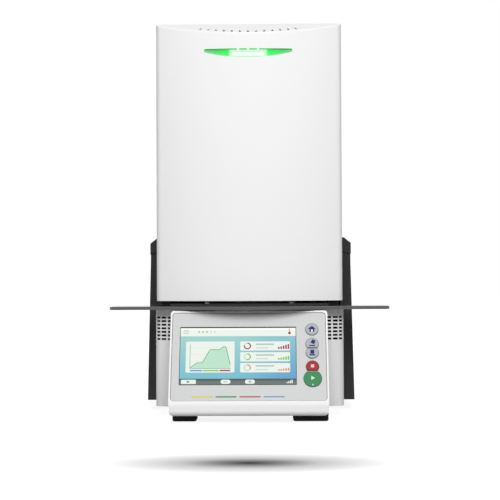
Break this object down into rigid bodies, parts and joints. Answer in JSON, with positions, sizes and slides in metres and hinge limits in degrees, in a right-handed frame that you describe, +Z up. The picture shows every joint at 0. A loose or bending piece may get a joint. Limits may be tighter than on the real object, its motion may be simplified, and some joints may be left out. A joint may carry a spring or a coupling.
{
  "type": "dental laboratory furnace",
  "caption": "Bench-top laboratory furnace: tall head that tilts back off a round firing table, sloping control console, cooling wings and a rear hinge column.",
  "frame": {"origin": "middle of the footprint, on the surface the furnace stands on", "axes": "+X to the furnace's left-to-right as seen from the front, +Y from the console to the rear panel, +Z up"},
  "size_m": [0.381, 0.424, 0.54],
  "materials": {
    "white_paint": "satin",
    "pale_grey_paint": "satin",
    "white_plastic": "satin",
    "black_plastic": "matte",
    "black_sheet": "matte",
    "dark_tray": "satin",
    "silver_film": "satin",
    "display_glass": "gloss",
    "light_bar": "satin",
    "key_grey": "satin",
    "key_red": "satin",
    "key_green": "satin",
    "rubber": "matte",
    "steel": "satin",
    "zinc_steel": "satin",
    "bronze": "satin",
    "fibre": "matte",
    "ceramic": "matte",
    "element": "satin",
    "aluminium": "satin",
    "board_green": "satin",
    "socket_black": "satin",
    "port_steel": "satin",
    "copper": "satin",
    "core_steel": "matte"
  },
  "bodies": {
    "base": {"base_pan": "zinc_steel", "lower_housing": "pale_grey_paint", "column_housing": "black_plastic", "column_rear_panel": "black_sheet", "base_screws": "steel", "hinge_plates": "zinc_steel", "hinge_bushes": "bronze", "gear_motor": "aluminium", "motor_bracket": "zinc_steel", "console_bezel": "white_plastic", "control_faceplate": "silver_film", "display_glass": "display_glass", "display_module": "socket_black", "control_boards": "board_green", "cooling_tray": "dark_tray", "deck_plate": "black_sheet", "rest_pads": "rubber", "plinth_support": "steel", "firing_plinth": "fibre", "firing_tray": "ceramic", "transformer_core": "core_steel", "transformer_coil": "copper", "power_board": "board_green", "fan_frame": "socket_black", "fan_grille": "steel", "mains_inlet": "socket_black", "power_switch_frame": "socket_black", "fuse_holders": "socket_black", "data_ports": "port_steel", "front_foot_right": "rubber", "front_foot_left": "rubber", "rear_feet": "rubber"},
    "head": {"head_shell": "white_paint", "status_lens": "light_bar", "status_led_board": "board_green", "head_rear_panel": "white_paint", "head_screws": "steel", "head_base_plate": "black_sheet", "chamber_seal": "fibre", "head_frame": "zinc_steel", "hinge_brackets": "steel", "hinge_shaft": "steel", "hinge_caps": "black_plastic", "sector_gear": "steel", "muffle_can": "zinc_steel", "muffle_wall": "fibre", "muffle_roof": "fibre", "heating_elements": "element", "terminal_plate": "ceramic", "element_clamps": "aluminium", "thermocouple": "ceramic", "power_relay": "aluminium"},
    "drive_pinion": {"drive_pinion": "steel"},
    "fan_rotor": {"fan_rotor": "socket_black"},
    "power_rocker": {"power_rocker": "key_red"},
    "key_home": {"key_home": "key_grey"},
    "key_head_open": {"key_head_open": "key_grey"},
    "key_head_close": {"key_head_close": "key_grey"},
    "key_stop": {"key_stop": "key_red"},
    "key_start": {"key_start": "key_green"}
  },
  "joints": [
    {"name": "head_tilt", "type": "hinge", "parent": "base", "child": "head", "pos_m": [0, 0.15, 0.196], "axis": [-1, 0, 0], "range_deg": [0, 42]},
    {"name": "pinion_spin", "type": "hinge", "parent": "base", "child": "drive_pinion", "pos_m": [0.04, 0.17162, 0.14407], "axis": [-1, 0, 0], "range_deg": [-168, 0]},
    {"name": "fan_spin", "type": "hinge", "parent": "base", "child": "fan_rotor", "pos_m": [0.06, 0.196, 0.084], "axis": [0, 1, 0], "continuous": true},
    {"name": "power_rock", "type": "hinge", "parent": "base", "child": "power_rocker", "pos_m": [-0.088, 0.2065, 0.092], "axis": [1, 0, 0], "range_deg": [0, 10]},
    {"name": "key_home_press", "type": "slide", "parent": "base", "child": "key_home", "axis": [0, 0.891, -0.454], "range_m": [0, 0.0006], "stiffness_N_per_m": 500, "springref_m": -0.0006},
    {"name": "key_head_open_press", "type": "slide", "parent": "base", "child": "key_head_open", "axis": [0, 0.891, -0.454], "range_m": [0, 0.0006], "stiffness_N_per_m": 500, "springref_m": -0.0006},
    {"name": "key_head_close_press", "type": "slide", "parent": "base", "child": "key_head_close", "axis": [0, 0.891, -0.454], "range_m": [0, 0.0006], "stiffness_N_per_m": 500, "springref_m": -0.0006},
    {"name": "key_stop_press", "type": "slide", "parent": "base", "child": "key_stop", "axis": [0, 0.891, -0.454], "range_m": [0, 0.0006], "stiffness_N_per_m": 500, "springref_m": -0.0006},
    {"name": "key_start_press", "type": "slide", "parent": "base", "child": "key_start", "axis": [0, 0.891, -0.454], "range_m": [0, 0.0006], "stiffness_N_per_m": 500, "springref_m": -0.0006}
  ],
  "couplings": [
    {"joint": "pinion_spin", "follows": "head_tilt", "ratio": -4}
  ]
}
